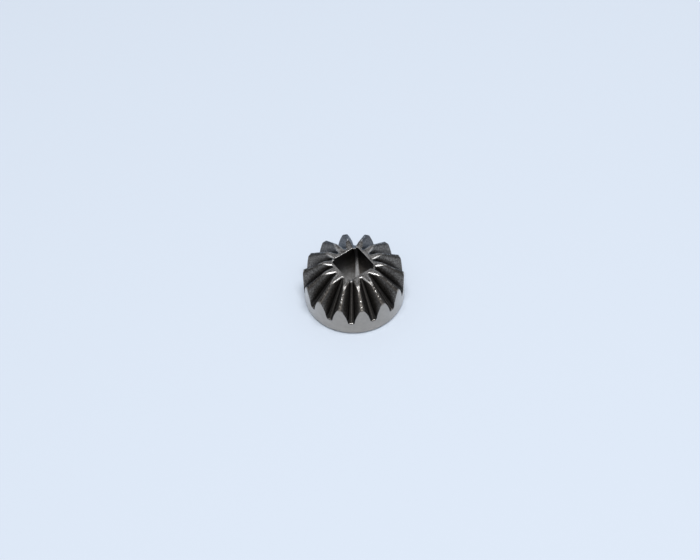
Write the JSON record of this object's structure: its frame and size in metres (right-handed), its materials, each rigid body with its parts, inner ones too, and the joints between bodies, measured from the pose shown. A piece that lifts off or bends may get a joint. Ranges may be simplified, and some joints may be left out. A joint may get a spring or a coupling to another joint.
{
  "type": "bevel gear",
  "caption": "Small straight bevel gear with tapered involute teeth, a plain round rim and a square through hole, for turning a drive through a right angle.",
  "frame": {"origin": "centre of the flat back face, on the gear's axis", "axes": "+Z along the gear's axis from the back face to the small end; X and Y square to the flats of the hole, with a tooth space on +X"},
  "size_m": [0.01, 0.01, 0.0049],
  "materials": {
    "steel": "satin, lighter on the turned rim and darker in the teeth"
  },
  "bodies": {
    "root": {"bevel_gear": "steel"}
  },
  "joints": []
}
